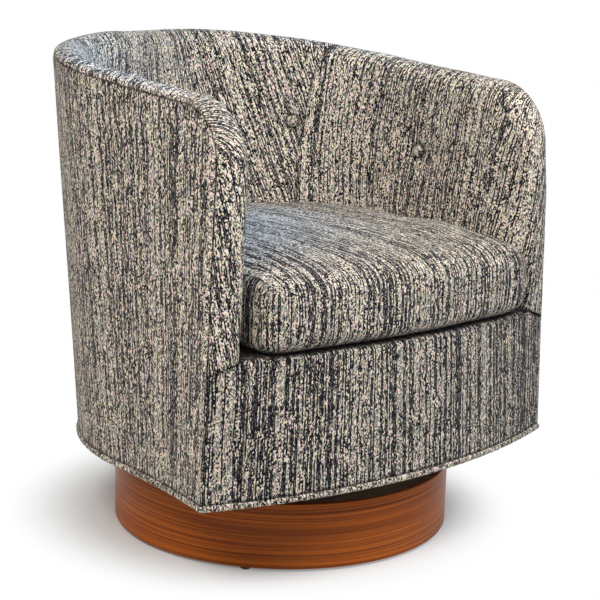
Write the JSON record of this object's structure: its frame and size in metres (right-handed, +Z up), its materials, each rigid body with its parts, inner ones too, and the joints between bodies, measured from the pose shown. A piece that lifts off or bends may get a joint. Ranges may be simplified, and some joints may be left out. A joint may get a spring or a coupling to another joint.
{
  "type": "swivel tub chair",
  "caption": "Barrel-backed upholstered tub chair with a loose crowned seat cushion and covered buttons inside its back, turning on a low round walnut drum base.",
  "frame": {"origin": "on the floor, at the middle of the chair's footprint in plan", "axes": "+Z up, the sitter faces -Y, X runs across the chair and the chair's own right arm (the sitter's right) is at -X"},
  "size_m": [0.6892, 0.7106, 0.7448],
  "materials": {
    "tweed_fabric": "woven tweed, cream and grey with dark streaks",
    "dust_cloth": "thin black dust cloth",
    "deck_felt": "pressed felt pad in plain cloth",
    "walnut": "walnut veneer, satin lacquer",
    "plywood": "bare plywood",
    "hardwood": "bare sawn hardwood",
    "zinc_steel": "zinc plated pressed steel",
    "spring_steel": "dark oiled spring wire",
    "black_nylon": "black nylon"
  },
  "bodies": {
    "base": {"ball_ring": "black_nylon", "base_screw_1": "zinc_steel", "base_screw_2": "zinc_steel", "base_screw_3": "zinc_steel", "base_screw_4": "zinc_steel", "drum_board": "plywood", "drum_wall": "walnut", "glide_1": "black_nylon", "glide_2": "black_nylon", "glide_3": "black_nylon", "glide_4": "black_nylon", "swivel_lower_plate": "zinc_steel", "swivel_pin": "zinc_steel"},
    "seat_shell": {"arm_post_left": "hardwood", "arm_post_right": "hardwood", "base_board": "plywood", "bottom_welt": "tweed_fabric", "button_arm_left": "tweed_fabric", "button_arm_right": "tweed_fabric", "button_back_left": "tweed_fabric", "button_back_middle": "tweed_fabric", "button_back_right": "tweed_fabric", "deck_pad": "deck_felt", "dust_cover": "dust_cloth", "front_board": "plywood", "front_cover": "tweed_fabric", "lower_back_post_left": "hardwood", "lower_back_post_middle": "hardwood", "lower_back_post_right": "hardwood", "lower_front_post_left": "hardwood", "lower_front_post_right": "hardwood", "outer_cover": "tweed_fabric", "seat_ring": "plywood", "seat_screw_1": "zinc_steel", "seat_screw_2": "zinc_steel", "seat_screw_3": "zinc_steel", "seat_screw_4": "zinc_steel", "seat_spring_1": "spring_steel", "seat_spring_2": "spring_steel", "seat_spring_3": "spring_steel", "seat_spring_4": "spring_steel", "spring_clip_back_1": "zinc_steel", "spring_clip_back_2": "zinc_steel", "spring_clip_back_3": "zinc_steel", "spring_clip_back_4": "zinc_steel", "spring_clip_front_1": "zinc_steel", "spring_clip_front_2": "zinc_steel", "spring_clip_front_3": "zinc_steel", "spring_clip_front_4": "zinc_steel", "swivel_upper_plate": "zinc_steel", "top_rail": "plywood", "tub_lining": "tweed_fabric", "upper_back_post_left": "hardwood", "upper_back_post_middle": "hardwood", "upper_back_post_right": "hardwood"},
    "cushion": {"seat_cushion": "tweed_fabric"}
  },
  "joints": [
    {"name": "swivel", "type": "hinge", "parent": "base", "child": "seat_shell", "pos_m": [0, -0.0508, 0.12], "axis": [0, 0, 1], "continuous": true},
    {"name": "cushion_lift", "type": "slide", "parent": "seat_shell", "child": "cushion", "axis": [0, 0, 1], "range_m": [0, 0.2]}
  ]
}
